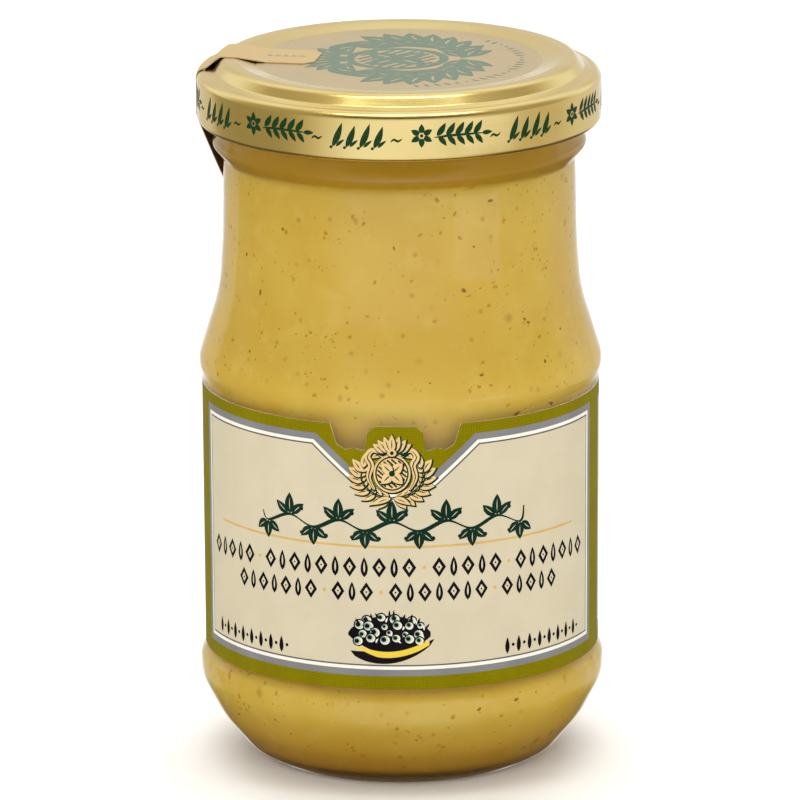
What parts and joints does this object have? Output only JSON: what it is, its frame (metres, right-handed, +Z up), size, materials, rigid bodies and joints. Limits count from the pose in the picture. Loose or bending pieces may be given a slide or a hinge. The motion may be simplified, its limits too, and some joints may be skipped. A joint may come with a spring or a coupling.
{
  "type": "mustard jar",
  "caption": "Small shouldered glass jar of speckled mustard, with a gold twist-off metal lid, a paper seal strip over the lid and a green-bordered cream label with a die-cut top edge",
  "frame": {"origin": "middle of the foot, on the surface the jar stands on", "axes": "+Z up along the jar's axis, the label faces -Y, the seal strip is near -X"},
  "size_m": [0.0614, 0.0614, 0.1083],
  "materials": {
    "clear_glass": "clear smooth pressed glass",
    "mustard_paste": "smooth ochre mustard with fine dark specks, wet against the glass",
    "gold_tinplate": "gold-lacquered tinplate with dark green print, satin",
    "label_paper": "printed label paper, cream with olive green margins, satin",
    "strip_paper": "uncoated tan kraft paper"
  },
  "bodies": {
    "root": {"glass_jar": "clear_glass", "mustard": "mustard_paste", "lid": "gold_tinplate", "label": "label_paper", "seal_strip": "strip_paper"}
  },
  "joints": []
}
